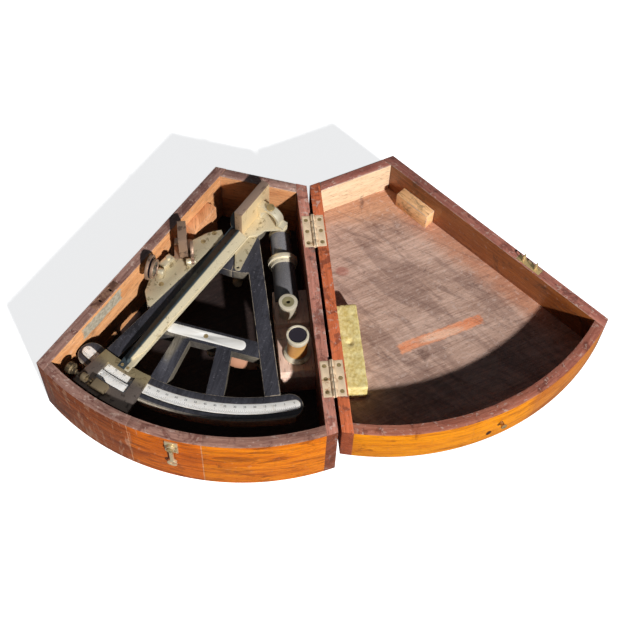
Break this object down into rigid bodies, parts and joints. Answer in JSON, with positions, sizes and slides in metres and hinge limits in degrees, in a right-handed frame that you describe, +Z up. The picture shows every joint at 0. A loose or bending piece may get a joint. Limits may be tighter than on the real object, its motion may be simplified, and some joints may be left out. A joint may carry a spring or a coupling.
{
  "type": "sextant in its case",
  "caption": "Ebony framed sextant with bone scale, brass index arm, mirrors and shades, lying in its open fan shaped wooden case with telescope and eyepiece.",
  "frame": {"origin": "on the underside of the case's base, straight below the instrument's pivot", "axes": "+X across the opened case from the base to the lid, +Y from the curved front to the back, +Z up"},
  "size_m": [0.578, 0.3439, 0.0956],
  "materials": {
    "mahogany": "old varnished mahogany, dull on its inner faces",
    "lid_mahogany": "old mahogany, bare and sunned inside the lid",
    "varnished_front": "glossy orange varnish over streaky mahogany",
    "base_board": "dark aged board, worn bare in one place",
    "lid_board": "dull grey brown board with scuffs",
    "plain_wood": "plain unvarnished wood",
    "grip_wood": "turned wood, polished by handling",
    "cork": "worn cork",
    "ebony": "black ebony, satin",
    "bone": "ivory coloured bone, satin",
    "bone_scale": "ivory coloured bone with fine cut lines",
    "hinge_brass": "aged brass, satin",
    "screw_brass": "aged brass, satin",
    "lock_brass": "aged brass, satin",
    "latch_brass": "aged brass, satin",
    "plate_brass": "brown aged brass",
    "arm_brass": "brown aged brass, bright on its edges",
    "dark_brass": "dark lacquered brass",
    "end_plate_brass": "dark tarnished brass",
    "collar_brass": "satin brass",
    "black_tube": "black lacquered brass tube",
    "black_draw_tube": "black lacquered brass tube",
    "eyepiece_black": "black lacquered brass, brass on its edges",
    "mirror_glass": "old silvered glass",
    "shade_glass": "very dark coloured glass",
    "lens_glass": "clear ground glass"
  },
  "bodies": {
    "case_base": {"base_hinge_wall": "mahogany", "base_back_wall": "mahogany", "base_lock_wall": "mahogany", "base_curved_front": "varnished_front", "base_floor": "base_board", "base_blocks": "plain_wood", "base_hinge_leaves": "hinge_brass", "hinge_pins": "hinge_brass", "base_screws": "screw_brass", "lock_case": "lock_brass", "latch_plate": "latch_brass"},
    "lock_bolt": {"lock_bolt": "lock_brass"},
    "latch_hook": {"latch_hook": "latch_brass"},
    "lid": {"lid_hinge_wall": "lid_mahogany", "lid_back_wall": "lid_mahogany", "lid_lock_wall": "lid_mahogany", "lid_curved_front": "varnished_front", "lid_board": "lid_board", "lid_block": "plain_wood", "lid_pad": "cork", "lid_hinge_leaves": "hinge_brass", "lid_screws": "screw_brass", "striker_plate": "lock_brass"},
    "instrument": {"left_limb": "ebony", "right_limb": "ebony", "frame_braces": "ebony", "frame_arc": "ebony", "arc_scale": "bone_scale", "note_plate": "bone", "frame_screws": "screw_brass", "pivot_bush": "plate_brass", "mount_plate": "plate_brass", "horizon_frame": "dark_brass", "horizon_glass": "mirror_glass", "shade_posts": "plate_brass", "back_posts": "plate_brass", "handle_grip": "grip_wood"},
    "near_shade": {"near_shade_frame": "dark_brass", "near_shade_glass": "shade_glass"},
    "far_shade": {"far_shade_frame": "dark_brass", "far_shade_glass": "shade_glass"},
    "index_shade": {"index_shade_frame": "dark_brass", "index_shade_glass": "shade_glass"},
    "index_arm": {"index_arm": "arm_brass", "arm_axle": "plate_brass", "vernier_plate": "end_plate_brass", "vernier": "bone_scale", "index_mirror_frame": "dark_brass", "index_mirror_glass": "mirror_glass", "mirror_bracket": "arm_brass", "arm_screws": "screw_brass"},
    "tangent_screw": {"tangent_screw": "plate_brass"},
    "clamp_screw": {"clamp_screw": "plate_brass"},
    "telescope": {"telescope_tube": "black_tube", "telescope_collar": "collar_brass", "telescope_lens": "lens_glass"},
    "draw_tube": {"draw_tube": "black_draw_tube"},
    "sight_tube": {"sight_tube": "collar_brass"},
    "eyepiece": {"eyepiece": "eyepiece_black", "eyepiece_glass": "shade_glass"}
  },
  "joints": [
    {"name": "lid_hinge", "type": "hinge", "parent": "case_base", "child": "lid", "pos_m": [0.06632, 0, 0.08], "axis": [0, 1, 0], "range_deg": [-180, 0]},
    {"name": "latch_swing", "type": "hinge", "parent": "case_base", "child": "latch_hook", "pos_m": [-0.09577, -0.26747, 0.069], "axis": [-0.3371, -0.9415, 0], "range_deg": [0, 180]},
    {"name": "lock_slide", "type": "slide", "parent": "case_base", "child": "lock_bolt", "axis": [-0.6347, -0.7727, 0], "range_m": [0, 0.004]},
    {"name": "instrument_lift", "type": "slide", "parent": "case_base", "child": "instrument", "axis": [0, 0, 1], "range_m": [0, 0.15]},
    {"name": "index_swing", "type": "hinge", "parent": "instrument", "child": "index_arm", "pos_m": [0, 0, 0.0591], "axis": [0, 0, 1], "range_deg": [-2, 41]},
    {"name": "tangent_turn", "type": "hinge", "parent": "index_arm", "child": "tangent_screw", "pos_m": [-0.19108, -0.17082, 0.0662], "axis": [0.7771, -0.6293, 0], "range_deg": [-360, 360]},
    {"name": "clamp_turn", "type": "hinge", "parent": "index_arm", "child": "clamp_screw", "pos_m": [-0.14789, -0.18263, 0.04], "axis": [0, 0, 1], "range_deg": [0, 180]},
    {"name": "near_shade_swing", "type": "hinge", "parent": "instrument", "child": "near_shade", "pos_m": [-0.10046, -0.0595, 0.0633], "axis": [-0.9298, 0.3681, 0], "range_deg": [0, 48]},
    {"name": "far_shade_swing", "type": "hinge", "parent": "instrument", "child": "far_shade", "pos_m": [-0.10046, -0.0595, 0.0633], "axis": [-0.9298, 0.3681, 0], "range_deg": [0, 48]},
    {"name": "index_shade_swing", "type": "hinge", "parent": "instrument", "child": "index_shade", "pos_m": [-0.06584, -0.05029, 0.0633], "axis": [1, 0, 0], "range_deg": [0, 95]},
    {"name": "telescope_slide", "type": "slide", "parent": "case_base", "child": "telescope", "axis": [0, 1, 0], "range_m": [0, 0.012]},
    {"name": "draw_slide", "type": "slide", "parent": "telescope", "child": "draw_tube", "axis": [0, 1, 0], "range_m": [0, 0.012]},
    {"name": "sight_tube_lift", "type": "slide", "parent": "case_base", "child": "sight_tube", "axis": [0, 0, 1], "range_m": [0, 0.06]},
    {"name": "eyepiece_lift", "type": "slide", "parent": "case_base", "child": "eyepiece", "axis": [0, 0, 1], "range_m": [0, 0.07]}
  ]
}
